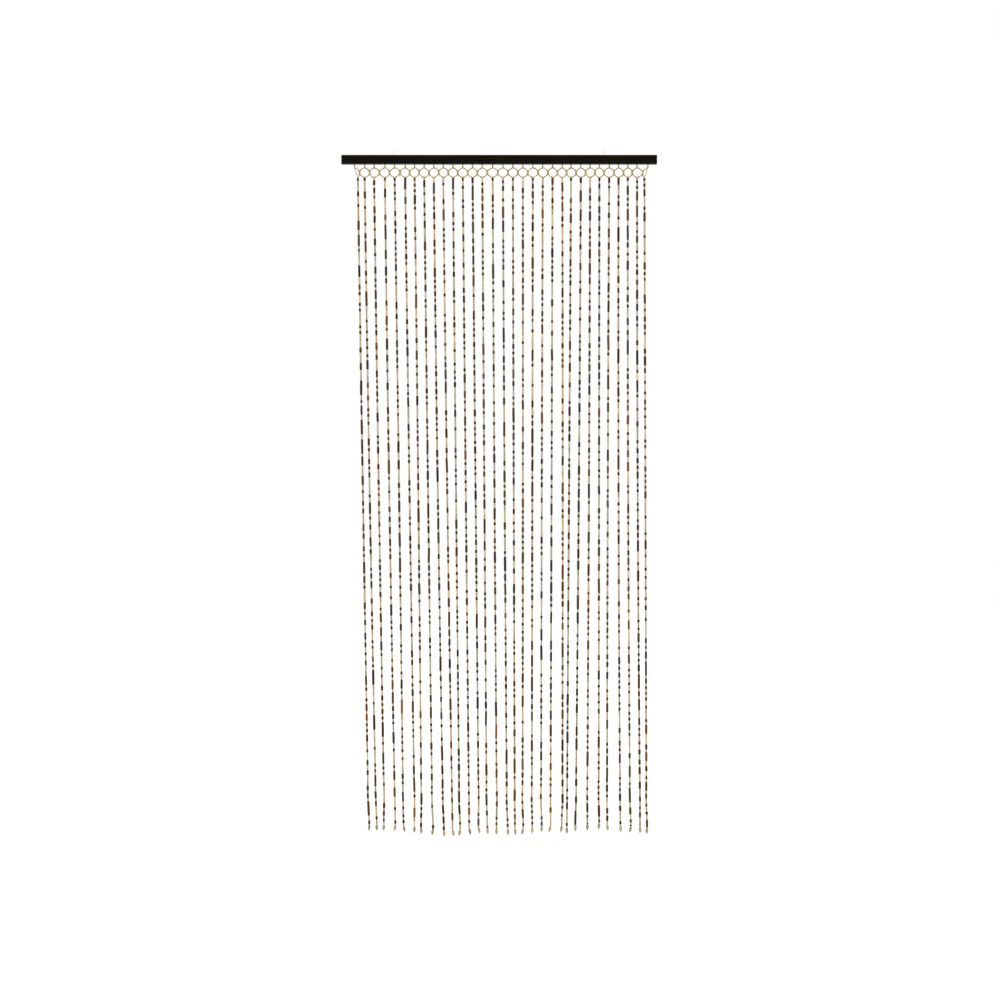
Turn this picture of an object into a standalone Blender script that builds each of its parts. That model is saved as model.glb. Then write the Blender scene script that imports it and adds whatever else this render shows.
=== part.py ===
"""Bamboo door curtain: strands of tubes and beads hang from a net heading under a drilled bar.

X runs along the bar to the viewer's right, +Y points away from the viewer and +Z is up.
The origin is the middle of the bar's top face. All sizes are in metres.
"""

import math
import random

import bmesh
import bpy

# Bar of lacquered wood, drilled from below for the heading and from above for the screw eyes
BAR_LENGTH = 0.900
BAR_HEIGHT = 0.026
BAR_DEPTH = 0.020
BAR_EDGE = 0.0015
FIT_GAP = 0.0003
DRILL_SIDES = 8

# Screw eyes that the bar hangs by
EYE_SPACING = 0.600
EYE_WIRE_RADIUS = 0.0010
EYE_LOOP_RADIUS = 0.0048
EYE_SHANK = 0.0055
EYE_SCREW_DEPTH = 0.010
EYE_LOOP_STEPS = 20
EYE_WIRE_SIDES = 6

# Net heading: one row of diamonds between the bar and the strands
STRAND_COUNT = 31
STRAND_PITCH = 0.0279
HEADING_SHIFT = 0.0057
EDGE_TUCK = {0: 0.0095, STRAND_COUNT - 1: -0.010}
NECK_LENGTH = 0.0095
NECK_RADIUS = 0.0020
NECK_IN_BAR = 0.0055
NECK_TAIL = 0.0025
NECK_HOLE_SLACK = 0.0008
DIAMOND_HEIGHT = 0.0285
ARM_RADIUS = 0.0017
ARM_OFFSET = 0.00025
WAIST_RADIUS = 0.0027
WAIST_HEIGHT = 0.0080
NET_UNEVENNESS = 0.0008
NET_SEED = 11

# Strands: solid tubes of four sides, thicker where a long dark tube is threaded
ROOT_Z = -(BAR_HEIGHT + NECK_LENGTH + DIAMOND_HEIGHT)
ROOT_LIFT = 0.0015
STRAND_RADIUS = 0.0027
TUBE_RADIUS = 0.0033
TUBE_SHOULDER = 0.0012
SHOWN_TUBE_LENGTH = 0.028
SHORTEST_STRAND = 1.854
END_BEAD_LENGTH = 0.013
END_BEAD_RADIUS = 0.0035
END_BEAD_NECK = 0.0018
END_BEAD_FOOT = 0.0024
END_BEAD_KICK = 0.0030
FOOT_REACH = 0.160
FOOT_WANDER = 0.0028
FOOT_WAVES = 0.9
FOOT_KNOTS = (0.150, 0.105, 0.060)
FOOT_SEED = 72

# Bead lengths and how often each is threaded, for a dark bead and for a pale run
DARK_LENGTHS = (0.0098, 0.0155, 0.0210, 0.0270, 0.0335, 0.0425)
DARK_WEIGHTS = (53, 21, 10, 8, 5, 3)
PALE_LENGTHS = (0.0065, 0.0131, 0.0207, 0.0287, 0.0377, 0.0479)
PALE_WEIGHTS = (41, 24, 15, 10, 6, 4)
BEAD_SEED = 400

# How the strands hang, in millimetres to the right: where the string leaves the bar, off an even
# spacing, then the strand's sway halfway down and at its foot, and its extra length downwards.
# Strands between two rows take values in between; 22 and 23 swing together at the foot.
HANG_ROWS = (
    # strand, shift, half, foot, longer
    (1, 0, 15, 31, 4),
    (2, 1, 15, 34, 4),
    (3, 0, 14, 30, 4),
    (4, 3, 13, 30, 5),
    (5, 3, 13, 25, 8),
    (6, 5, 13, 28, 10),
    (7, 4, 11, 20, 13),
    (9, 3, 12, 28, 21),
    (10, 2, 12, 27, 20),
    (11, 2, 9, 19, 19),
    (13, 2, 9, 18, 12),
    (14, 2, 6, 13, 14),
    (16, 5, 5, 12, 17),
    (18, 6, 0, -1, 16),
    (20, 7, -3, -5, 8),
    (21, 7, -3, -6, 8),
    (22, 7, 1, 0, 8),
    (23, 4, -6, -12, 13),
    (24, 4, -6, -15, 6),
    (26, 1, -1, -2, 0),
    (27, 1, -4, -6, 4),
    (28, 0, 0, 5, 8),
    (30, -3, 2, 9, 11),
    (31, 0, 3, 6, 13),
)
MILLIMETRE = 0.001

CURTAIN_COLLECTION = "bamboo_door_curtain"
CUTTER_COLLECTION = "cutters"


def new_collection(name, hidden=False):
    """Adds a collection to the scene; a hidden one holds cutters and guides."""
    collection = bpy.data.collections.new(name)
    collection.hide_render = hidden
    bpy.context.scene.collection.children.link(collection)
    return collection


def finish(name, colour, roughness, metallic=0.0):
    """A Principled material of one colour."""
    material = bpy.data.materials.new(name)
    material.use_nodes = True
    shader = material.node_tree.nodes["Principled BSDF"]
    shader.inputs["Base Color"].default_value = (*colour, 1.0)
    shader.inputs["Roughness"].default_value = roughness
    shader.inputs["Metallic"].default_value = metallic
    return material


def place_object(name, mesh, collection, material=None):
    """Puts a mesh in a collection as a named object."""
    obj = bpy.data.objects.new(name, mesh)
    collection.objects.link(obj)
    if material:
        mesh.materials.clear()
        mesh.materials.append(material)
    return obj


def make_cutter(obj):
    """Marks an object as a cutter, which isn't part of the curtain."""
    obj.hide_render = True
    obj.display_type = "WIRE"


def added_primitive(name, collection):
    """The primitive that was just added, named and moved to a collection."""
    obj = bpy.context.object
    obj.name = name
    for owner in list(obj.users_collection):
        owner.objects.unlink(obj)
    collection.objects.link(obj)
    return obj


def hang_of(strand):
    """Shift, half sway, foot sway and extra length of a strand, in metres, read between the rows."""
    number = strand + 1
    for low, high in zip(HANG_ROWS, HANG_ROWS[1:]):
        if number <= high[0]:
            share = (number - low[0]) / (high[0] - low[0])
            return [MILLIMETRE * (a + (b - a) * share) for a, b in zip(low[1:], high[1:])]
    raise ValueError("a strand lies beyond the last row")


def attach_x(strand):
    """Where a strand's string leaves the bar."""
    return HEADING_SHIFT + (strand - (STRAND_COUNT - 1) / 2) * STRAND_PITCH + hang_of(strand)[0]


def root_x(strand):
    """Where a strand starts below the net; the outer ones are drawn in."""
    return attach_x(strand) + EDGE_TUCK.get(strand, 0.0)


def strand_length(strand):
    """Length from the root to the foot of the end bead."""
    return SHORTEST_STRAND + hang_of(strand)[3]


def foot_wander(strand, down):
    """How far the light foot of a strand strays in X and Y: a wave that grows towards the end."""
    chance = random.Random(FOOT_SEED + strand)
    stray_x, stray_y = (chance.uniform(-1, 1) * FOOT_WANDER for _ in range(2))
    share = max(0.0, 1.0 - (strand_length(strand) - down) / FOOT_REACH)
    wave = share * math.sin(2.0 * math.pi * FOOT_WAVES * share)
    return stray_x * wave, stray_y * wave


def strand_point(strand, down):
    """Centre of a strand at a distance below its root: a parabola, and the foot's own wave."""
    _, half, foot, _ = hang_of(strand)
    share = down / strand_length(strand)
    sway = share * (4.0 * half - foot) + share * share * (2.0 * foot - 4.0 * half)
    stray_x, stray_y = foot_wander(strand, down)
    return (root_x(strand) + sway + stray_x, stray_y, ROOT_Z - down)


def end_bead_kick(strand):
    """How far the foot of the end bead stands off sideways."""
    return random.Random(NET_SEED + strand).uniform(-END_BEAD_KICK, END_BEAD_KICK)


def thread_beads(strand):
    """(start, length, dark) of each bead or pale run down a strand, dark and pale by turns."""
    chance = random.Random(BEAD_SEED + strand)
    dark = chance.random() < 0.5
    down = 0.0
    last = strand_length(strand) - END_BEAD_LENGTH
    beads = []
    while down < last:
        lengths, weights = (DARK_LENGTHS, DARK_WEIGHTS) if dark else (PALE_LENGTHS, PALE_WEIGHTS)
        length = min(chance.choices(lengths, weights)[0], last - down)
        beads.append((down, length, dark))
        down += length
        dark = not dark
    return beads


def tube_mesh(stations):
    """A closed tube of four sides through (point, radius) stations, made as a curve and welded."""
    curve = bpy.data.curves.new("tube", "CURVE")
    curve.dimensions = "3D"
    curve.bevel_depth = 1.0
    curve.bevel_resolution = 0
    curve.use_fill_caps = True
    spline = curve.splines.new("POLY")
    spline.points.add(len(stations) - 1)
    for point, (centre, radius) in zip(spline.points, stations):
        point.co = (*centre, 1.0)
        point.radius = radius
    holder = bpy.data.objects.new("tube", curve)
    bpy.context.scene.collection.objects.link(holder)
    bpy.context.view_layer.update()
    evaluated = holder.evaluated_get(bpy.context.evaluated_depsgraph_get())
    mesh = bpy.data.meshes.new_from_object(evaluated)
    bpy.data.objects.remove(holder)
    welded = bmesh.new()
    welded.from_mesh(mesh)
    bmesh.ops.remove_doubles(welded, verts=welded.verts, dist=1e-6)
    welded.to_mesh(mesh)
    welded.free()
    return mesh


def shown_tubes(strand):
    """(start, end) of the long dark tubes that show as thicker stretches of a strand."""
    last = strand_length(strand) - END_BEAD_LENGTH - TUBE_SHOULDER
    for start, length, dark in thread_beads(strand):
        if dark and length >= SHOWN_TUBE_LENGTH and TUBE_SHOULDER < start < last - length:
            yield start, start + length


def strand_stations(strand):
    """Stations down one strand: slim, with shoulders up to each long dark tube, then the end bead."""
    length = strand_length(strand)
    neck = length - END_BEAD_LENGTH
    tubes = list(shown_tubes(strand))
    profile = [(-ROOT_LIFT, STRAND_RADIUS), (neck - TUBE_SHOULDER / 2, STRAND_RADIUS)]
    for start, end in tubes:
        profile.append((start, STRAND_RADIUS))
        profile.append((start + TUBE_SHOULDER, TUBE_RADIUS))
        profile.append((end - TUBE_SHOULDER, TUBE_RADIUS))
        profile.append((end, STRAND_RADIUS))
    for knot in (length - above for above in FOOT_KNOTS):
        if all(knot < start - TUBE_SHOULDER or knot > end + TUBE_SHOULDER for start, end in tubes):
            profile.append((knot, STRAND_RADIUS))
    profile.append((neck, END_BEAD_NECK))
    profile.append((neck + 2 * TUBE_SHOULDER, END_BEAD_RADIUS))
    stations = [(strand_point(strand, down), radius) for down, radius in sorted(profile)]
    x, y, z = strand_point(strand, length)
    stations.append(((x + end_bead_kick(strand), y, z), END_BEAD_FOOT))
    return stations


def net_knots():
    """Points of the net: the foot of each neck, and the waist between each pair of neighbours."""
    chance = random.Random(NET_SEED)
    top = -(BAR_HEIGHT + NECK_LENGTH)
    feet = [(attach_x(i), top) for i in range(STRAND_COUNT)]
    waists = []
    for i in range(STRAND_COUNT - 1):
        x = (attach_x(i) + attach_x(i + 1)) / 2 + chance.uniform(-1, 1) * NET_UNEVENNESS
        z = top - DIAMOND_HEIGHT / 2 + chance.uniform(-1, 1) * NET_UNEVENNESS
        waists.append((x, z))
    return feet, waists


def string_mesh(knots, offset):
    """A string of the net through (x, z) knots, a little in front of or behind the middle."""
    return tube_mesh([((x, offset, z), ARM_RADIUS) for x, z in knots])


def net_meshes():
    """Meshes of the net: necks out of the bar, the strings that cross, and the beads they cross in.

    A string that runs down to the right passes in front, and one that runs down to the left
    behind. At each side one more string runs straight from the bar to the outermost strand.
    """
    feet, waists = net_knots()
    roots = [(root_x(i), ROOT_Z) for i in range(STRAND_COUNT)]
    meshes = []
    for x, z in feet:
        top = (x, 0.0, -BAR_HEIGHT + NECK_IN_BAR)
        meshes.append(tube_mesh([(top, NECK_RADIUS), ((x, 0.0, z - NECK_TAIL), NECK_RADIUS)]))
    for i, waist in enumerate(waists):
        meshes.append(string_mesh([feet[i], waist, roots[i + 1]], -ARM_OFFSET))
        meshes.append(string_mesh([feet[i + 1], waist, roots[i]], ARM_OFFSET))
        x, z = waist
        ends = (z + WAIST_HEIGHT / 2, z - WAIST_HEIGHT / 2)
        meshes.append(tube_mesh([((x, 0.0, end), WAIST_RADIUS) for end in ends]))
    for edge in (0, STRAND_COUNT - 1):
        meshes.append(string_mesh([feet[edge], roots[edge]], ARM_OFFSET / 2))
    return meshes


def build_curtain(collection, cutters, material):
    """The net and its strands as one solid: the strands' roots are fused into the net."""
    pieces = net_meshes()
    for strand in range(1, STRAND_COUNT):
        pieces.append(tube_mesh(strand_stations(strand)))
    for number, mesh in enumerate(pieces):
        make_cutter(place_object(f"joined_{number}", mesh, cutters))
    first = tube_mesh(strand_stations(0))
    curtain = place_object("net_and_strands", first, collection, material)
    union = curtain.modifiers.new("Fuse", "BOOLEAN")
    union.operation = "UNION"
    union.operand_type = "COLLECTION"
    union.collection = cutters
    union.solver = "EXACT"


def drill(x, entry, depth, radius, cutters):
    """A cutter for a blind hole of eight sides into the bar's top or bottom face."""
    bpy.ops.mesh.primitive_cylinder_add(
        vertices=DRILL_SIDES,
        radius=radius,
        depth=2 * depth,
        location=(x, 0.0, entry),
        rotation=(0.0, 0.0, math.pi / DRILL_SIDES),
    )
    make_cutter(added_primitive("drill", cutters))


def build_bar(collection, cutters, material):
    """The bar: a softened block with a hole for each string and for each screw eye."""
    bpy.ops.mesh.primitive_cube_add(size=1.0, location=(0.0, 0.0, -BAR_HEIGHT / 2))
    bar = added_primitive("head_bar", collection)
    bar.scale = (BAR_LENGTH, BAR_DEPTH, BAR_HEIGHT)
    bpy.ops.object.transform_apply(location=True, rotation=False, scale=True)
    bar.data.materials.append(material)
    bevel = bar.modifiers.new("Softened edges", "BEVEL")
    bevel.width = BAR_EDGE
    bevel.segments = 2
    for strand in range(STRAND_COUNT):
        string_depth = NECK_IN_BAR + FIT_GAP
        drill(attach_x(strand), -BAR_HEIGHT, string_depth, NECK_RADIUS + NECK_HOLE_SLACK, cutters)
    for x in (-EYE_SPACING / 2, EYE_SPACING / 2):
        drill(x, 0.0, EYE_SCREW_DEPTH + FIT_GAP, EYE_WIRE_RADIUS + 2 * FIT_GAP, cutters)
    holes = bar.modifiers.new("Holes", "BOOLEAN")
    holes.operation = "DIFFERENCE"
    holes.operand_type = "COLLECTION"
    holes.collection = cutters
    holes.solver = "EXACT"


def build_screw_eye(name, x, collection, cutters, material):
    """A screw eye: a wire loop that faces the room, on a shank that stands in the bar."""
    bpy.ops.mesh.primitive_torus_add(
        major_radius=EYE_LOOP_RADIUS,
        minor_radius=EYE_WIRE_RADIUS,
        major_segments=EYE_LOOP_STEPS,
        minor_segments=EYE_WIRE_SIDES,
        location=(x, 0.0, EYE_SHANK + EYE_LOOP_RADIUS),
        rotation=(math.pi / 2, 0.0, 0.0),
    )
    eye = added_primitive(name, collection)
    eye.data.materials.append(material)
    bpy.ops.mesh.primitive_cylinder_add(
        vertices=DRILL_SIDES,
        radius=EYE_WIRE_RADIUS,
        depth=EYE_SCREW_DEPTH + EYE_SHANK,
        location=(x, 0.0, (EYE_SHANK - EYE_SCREW_DEPTH) / 2),
    )
    shank = added_primitive("shank", cutters)
    make_cutter(shank)
    weld = eye.modifiers.new("Shank", "BOOLEAN")
    weld.operation = "UNION"
    weld.object = shank
    weld.solver = "EXACT"


def main():
    for obj in list(bpy.data.objects):
        bpy.data.objects.remove(obj)
    lacquer = finish("black_lacquer", (0.008, 0.008, 0.007), 0.35)
    steel = finish("bright_wire", (0.62, 0.62, 0.60), 0.30, metallic=1.0)
    bamboo = finish("bamboo", (0.42, 0.34, 0.24), 0.45)
    curtain = new_collection(CURTAIN_COLLECTION)
    build_bar(curtain, new_collection(CUTTER_COLLECTION, hidden=True), lacquer)
    shanks = new_collection("eye_shanks", hidden=True)
    build_screw_eye("screw_eye_left", -EYE_SPACING / 2, curtain, shanks, steel)
    build_screw_eye("screw_eye_right", EYE_SPACING / 2, curtain, shanks, steel)
    build_curtain(curtain, new_collection("net_pieces", hidden=True), bamboo)


main()
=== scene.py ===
"""Bamboo door curtain: beads and tubes on strings, a net heading, a lacquered bar and its eyes.

The file is laid out as an add-on and is run as a script. X runs along the bar to the viewer's
right, +Y points away from the viewer and +Z is up. The origin is the middle of the bar's top
face, and sizes are in metres.
"""

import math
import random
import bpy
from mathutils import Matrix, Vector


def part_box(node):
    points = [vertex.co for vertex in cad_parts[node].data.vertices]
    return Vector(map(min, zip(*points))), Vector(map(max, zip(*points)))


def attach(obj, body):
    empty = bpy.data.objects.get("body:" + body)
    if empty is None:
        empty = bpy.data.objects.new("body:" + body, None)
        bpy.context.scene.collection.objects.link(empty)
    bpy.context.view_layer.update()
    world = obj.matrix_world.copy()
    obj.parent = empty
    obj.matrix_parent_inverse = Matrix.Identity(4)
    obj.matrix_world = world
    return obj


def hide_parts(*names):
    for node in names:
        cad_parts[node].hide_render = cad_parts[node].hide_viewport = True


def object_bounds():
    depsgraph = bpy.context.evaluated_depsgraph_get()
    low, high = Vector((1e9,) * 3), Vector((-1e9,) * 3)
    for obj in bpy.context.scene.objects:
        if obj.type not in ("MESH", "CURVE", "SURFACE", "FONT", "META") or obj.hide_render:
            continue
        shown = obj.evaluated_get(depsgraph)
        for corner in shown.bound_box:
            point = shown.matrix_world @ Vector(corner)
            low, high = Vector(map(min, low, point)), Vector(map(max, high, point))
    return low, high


bl_info = {
    "name": "Bamboo Door Curtain",
    "version": (1, 0, 0),
    "blender": (4, 5, 0),
    "location": "3D View > Sidebar > Curtain",
    "description": "Threads the strands of a bamboo door curtain and hangs them from its bar",
    "category": "Object",
}

import bpy
import numpy as np
from bpy.props import FloatProperty, FloatVectorProperty, IntProperty, PointerProperty
from mathutils import Vector

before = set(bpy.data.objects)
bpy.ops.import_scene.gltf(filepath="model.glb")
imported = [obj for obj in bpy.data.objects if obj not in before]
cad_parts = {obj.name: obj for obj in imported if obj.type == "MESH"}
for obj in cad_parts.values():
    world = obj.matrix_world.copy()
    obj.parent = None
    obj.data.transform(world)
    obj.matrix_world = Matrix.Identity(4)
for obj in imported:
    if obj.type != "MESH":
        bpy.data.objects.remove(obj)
CAD_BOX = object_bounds()

# The bar, read from the frame
BAR_LOW, BAR_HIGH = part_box("head_bar")
BAR_HEIGHT = BAR_HIGH.z - BAR_LOW.z

# The net heading: one row of cells between the bar and the strands, with the roots of the two
# outer strands drawn in by EDGE_TUCK
STRAND_COUNT = 31
STRAND_PITCH = 0.0279
HEADING_SHIFT = 0.0057
EDGES = [0, STRAND_COUNT - 1]
EDGE_TUCK = dict(zip(EDGES, (0.0095, -0.010)))
NECK_LENGTH = 0.0095
NECK_IN_BAR = 0.0055
CELL_HEIGHT = 0.0285
WAIST_HEIGHT = 0.0080
NET_UNEVENNESS = 0.0008
NET_SEED = 11
STRING_OFFSET = 0.0006
STRING_IN_STRAND = 0.006
WAIST_EASE = 0.0016
EDGE_EASE = 0.0022

# The beads and tubes of the net: the two shares of its string between which each tube lies, and
# for each kind how much its radius varies, the length of its turned shoulder and its tones
NET_TUBE_SPAN = (0.12, 0.93)
NET_TUBE = (0.10, 0.0007, (0.1, 0.6))
NECK_TUBE_SPAN = (0.86, 0.06)
NECK_TUBE = (0.08, 0.0008, (0.0, 0.35))
WAIST_BEAD = (0.08, 0.0014, (0.0, 0.5))
NET_HUES = (0.2, 0.7)
EDGE_TUBE_SPAN = (0.2, 0.8)
EDGE_TUBE_SHOULDER = 0.0006
EDGE_TUBE_RADIUS = 0.0013
EDGE_TUBE_TONES = (0.5, 0.6)

# The strands: where each starts and how long it is
ROOT_Z = -(BAR_HEIGHT + NECK_LENGTH + CELL_HEIGHT)
SHORTEST_STRAND = 1.854
END_BEAD_LENGTH = 0.013
END_BEAD_KICK = 0.0030
FOOT_REACH = 0.160
FOOT_WANDER = 0.0028
FOOT_WAVES = 0.9
FOOT_SEED = 72

# The end of a strand: where the end bead, the knot and the string's tail lie, in lengths of
# END_BEAD_LENGTH down from the last tube, and the knot's radius, in radii of the string
BEAD_TOP = 0.02
BEAD_INSIDE = 0.50
BEAD_FOOT = 1.15
KNOT_FOOT = 1.27
TAIL_FOOT = 1.46
KNOT_SIZE = 2.4
TAIL_STRAY = 0.0012
STRING_STATIONS = 64

# How often each length of dark bead and of pale run is threaded
DARK_LENGTHS = (0.0098, 0.0155, 0.0210, 0.0270, 0.0335, 0.0425)
DARK_WEIGHTS = (53, 21, 10, 8, 5, 3)
PALE_LENGTHS = (0.0065, 0.0131, 0.0207, 0.0287, 0.0377, 0.0479)
PALE_WEIGHTS = (41, 24, 15, 10, 6, 4)
LONGEST_PALE_TUBE = 0.0235
BEAD_SEED = 400

# The profile of a turned bead or tube from the rim of its hole to the end of its shoulder, as
# shares of the shoulder's length and of the radius, and its small irregularities
SHOULDER_PLACES = np.array([0.0, 0.25, 1.0])
SHOULDER_RADII = 0.985 * np.array([0.52, 0.83, 1.0])
LONGEST_SHOULDER = 0.38
BELLY_RANGE = (-0.01, 0.035)
BEAD_LEAN = 0.012
CUT_REACH = 0.0012
HOLE_DIMPLE = 0.0004
SHORT_DARK = 0.010
SHORT_DARK_SHOULDER = 0.0021
DARK_SHOULDER = 0.0013
PALE_SHOULDER = 0.0011

# The round beads at the ends of the strands: their rings, the rims of the hole in degrees from the
# middle, and where the cut end starts and how soon it is full, from 0 in the middle to 1
ROUND_RINGS = 15
ROUND_RIM = 78.0
ROUND_CUT = 0.93
ROUND_CUT_REACH = 0.05
ROUND_DIMPLE = 0.0002

# Tone and hue down a strand, from 0 to 1
TONE_MIDDLE = 0.42
TONE_SPREAD = 0.20
STRAND_TONE_SPREAD = 0.07
HUE_MIDDLE = 0.43
HUE_SPREAD = 0.10
STRAND_HUE_SPREAD = 0.14
HUE_DRIFT = 0.36
HUE_PERIODS = (0.28, 0.62)

# The screw eyes: where the loop starts and ends in degrees from +X, how far below its start the
# shank stops and the wire bends, and the thread, the tapered tip and the rounded end of the wire
LOOP_START = -72.0
LOOP_END = 246.0
LOOP_POINTS = 44
SHANK_GAP = 0.0018
BEND_DROP = 0.0004
TURN_POINTS = 12
THREAD_DEPTH = 0.16
THREAD_FADE = 0.002
TIP_LENGTH = 0.0022
TIP_SHARE = 0.25
WIRE_END = 0.72

# How the strands hang, in millimetres to the right: where the string leaves the bar, off an even
# spacing, then the strand's sway halfway down and at its foot, and its extra length downwards.
HANG_ROWS = (
    # strand, shift, half, foot, longer
    (1, 0, 15, 31, 4),
    (2, 1, 15, 34, 4),
    (3, 0, 14, 30, 4),
    (4, 3, 13, 30, 5),
    (5, 3, 13, 25, 8),
    (6, 5, 13, 28, 10),
    (7, 4, 11, 20, 13),
    (9, 3, 12, 28, 21),
    (10, 2, 12, 27, 20),
    (11, 2, 9, 19, 19),
    (13, 2, 9, 18, 12),
    (14, 2, 6, 13, 14),
    (16, 5, 5, 12, 17),
    (18, 6, 0, -1, 16),
    (20, 7, -3, -5, 8),
    (21, 7, -3, -6, 8),
    (22, 7, 1, 0, 8),
    (23, 4, -6, -12, 13),
    (24, 4, -6, -15, 6),
    (26, 1, -1, -2, 0),
    (27, 1, -4, -6, 4),
    (28, 0, 0, 5, 8),
    (30, -3, 2, 9, 11),
    (31, 0, 3, 6, 13),
)
MILLIMETRE = 0.001

# The photograph's frame: the picture is square and its centre looks level at the curtain
PICTURE_WIDTH = 2.8526
PICTURE_CENTRE = Vector((0.0023, 0.0, -0.9834))
SENSOR_WIDTH = 36.0
CAMERA_REACH = 60.0

# The floor and the key light, with the light's angle in degrees and the way that it shines
FLOOR_RADIUS = 16.0
FLOOR_SIDES = 96
KEY_ANGLE = 28.0
KEY_DIRECTION = Vector((0.60, 0.75, -0.72))

# Sides of each kind of turned shape, and the share of its radius that a string keeps at its ends
BEAD_SIDES = 8
ROUND_SIDES = 16
STRING_SIDES = 6
WIRE_SIDES = 14
STRING_END = 0.7

ACROSS = np.array([1.0, 0.0, 0.0])
AWAY = np.array([0.0, 1.0, 0.0])
WHITE = (1.0, 1.0, 1.0)


class BeadProperties(bpy.types.PropertyGroup):
    """Sizes and colours of the beads and tubes."""

    dark_radius: FloatProperty(
        name="Dark radius",
        description="Radius of a dark bead or tube",
        default=0.0034,
        unit="LENGTH",
    )
    pale_radius: FloatProperty(
        name="Pale radius",
        description="Radius of a pale bamboo tube",
        default=0.00275,
        unit="LENGTH",
    )
    end_radius: FloatProperty(
        name="End bead radius",
        description="Radius of the pale bead that closes a strand",
        default=0.0038,
        unit="LENGTH",
    )
    slack: FloatProperty(
        name="Slack",
        description="Bare string between two neighbouring beads",
        default=0.0004,
        unit="LENGTH",
    )
    unevenness: FloatProperty(
        name="Unevenness",
        description="How much one bead's radius differs from the next",
        default=0.07,
        subtype="FACTOR",
    )
    dark_colour: FloatVectorProperty(
        name="Dark stain",
        description="Middle colour of the stained beads",
        default=(0.046, 0.0245, 0.0065),
        subtype="COLOR",
    )
    pale_colour: FloatVectorProperty(
        name="Natural bamboo",
        description="Middle colour of the pale tubes",
        default=(0.435, 0.358, 0.206),
        subtype="COLOR",
    )
    end_colour: FloatVectorProperty(
        name="End bead bamboo",
        description="Middle colour of the greyer beads that close the strands",
        default=(0.35, 0.303, 0.155),
        subtype="COLOR",
    )


class NetProperties(bpy.types.PropertyGroup):
    """Sizes and colours of the strings and the net heading."""

    string_radius: FloatProperty(
        name="String radius",
        description="Radius of the waxed string",
        default=0.00065,
        unit="LENGTH",
    )
    tube_radius: FloatProperty(
        name="Net tube radius",
        description="Radius of the slim tubes on the net's slanting strings",
        default=0.0020,
        unit="LENGTH",
    )
    waist_radius: FloatProperty(
        name="Waist bead radius",
        description="Radius of the bead that two net strings share",
        default=0.0028,
        unit="LENGTH",
    )
    neck_radius: FloatProperty(
        name="Neck tube radius",
        description="Radius of the short tube where two strings leave the bar",
        default=0.0018,
        unit="LENGTH",
    )
    tube_colour: FloatVectorProperty(
        name="Net bamboo",
        description="Middle colour of the net's straw-coloured tubes",
        default=(0.45, 0.356, 0.112),
        subtype="COLOR",
    )
    bow: FloatProperty(
        name="Bow",
        description="How far the slanting strings bow out from the middle of their cell",
        default=0.0015,
        unit="LENGTH",
    )
    string_colour: FloatVectorProperty(
        name="String",
        description="Colour of the waxed string",
        default=(0.36, 0.30, 0.18),
        subtype="COLOR",
    )


class BarProperties(bpy.types.PropertyGroup):
    """Finish of the bar and its screw eyes."""

    lacquer_colour: FloatVectorProperty(
        name="Lacquer",
        description="Colour of the black lacquer",
        default=(0.0025, 0.0019, 0.0007),
        subtype="COLOR",
    )
    wire_radius: FloatProperty(
        name="Eye wire radius",
        description="Radius of the wire that a screw eye is bent from",
        default=0.0010,
        unit="LENGTH",
    )
    wire_colour: FloatVectorProperty(
        name="Eye wire",
        description="Colour of the bright plated wire",
        default=(0.83, 0.83, 0.81),
        subtype="COLOR",
    )
    thread_turns: IntProperty(
        name="Thread turns",
        description="Turns of the thread on a screw eye's shank",
        default=8,
    )


class StageProperties(bpy.types.PropertyGroup):
    """Floor, light and camera."""

    distance: FloatProperty(
        name="Camera distance",
        description="Distance from the lens to the curtain",
        default=7.0,
        unit="LENGTH",
    )
    floor_drop: FloatProperty(
        name="Floor drop",
        description="Height of the lowest bead above the floor",
        default=0.045,
        unit="LENGTH",
    )
    floor_colour: FloatVectorProperty(
        name="Floor",
        description="Colour of the pale floor",
        default=(0.985, 0.985, 0.985),
        subtype="COLOR",
    )
    sky: FloatProperty(
        name="Room light",
        description="Strength of the even white light from all round",
        default=1.01,
    )
    key: FloatProperty(
        name="Key light",
        description="Strength of the broad soft light from the upper left",
        default=0.9,
    )


class Number:
    """A shader socket that holds a number, so that a formula on sockets reads as Python."""

    def __init__(self, finish, socket):
        self.finish = finish
        self.socket = socket

    def __add__(self, other):
        return self.finish.maths("ADD", self, other)

    __radd__ = __add__

    def __sub__(self, other):
        return self.finish.maths("SUBTRACT", self, other)

    def __rsub__(self, other):
        return self.finish.maths("SUBTRACT", other, self)

    def __mul__(self, other):
        return self.finish.maths("MULTIPLY", self, other)

    __rmul__ = __mul__

    def __truediv__(self, other):
        return self.finish.maths("DIVIDE", self, other)


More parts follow.
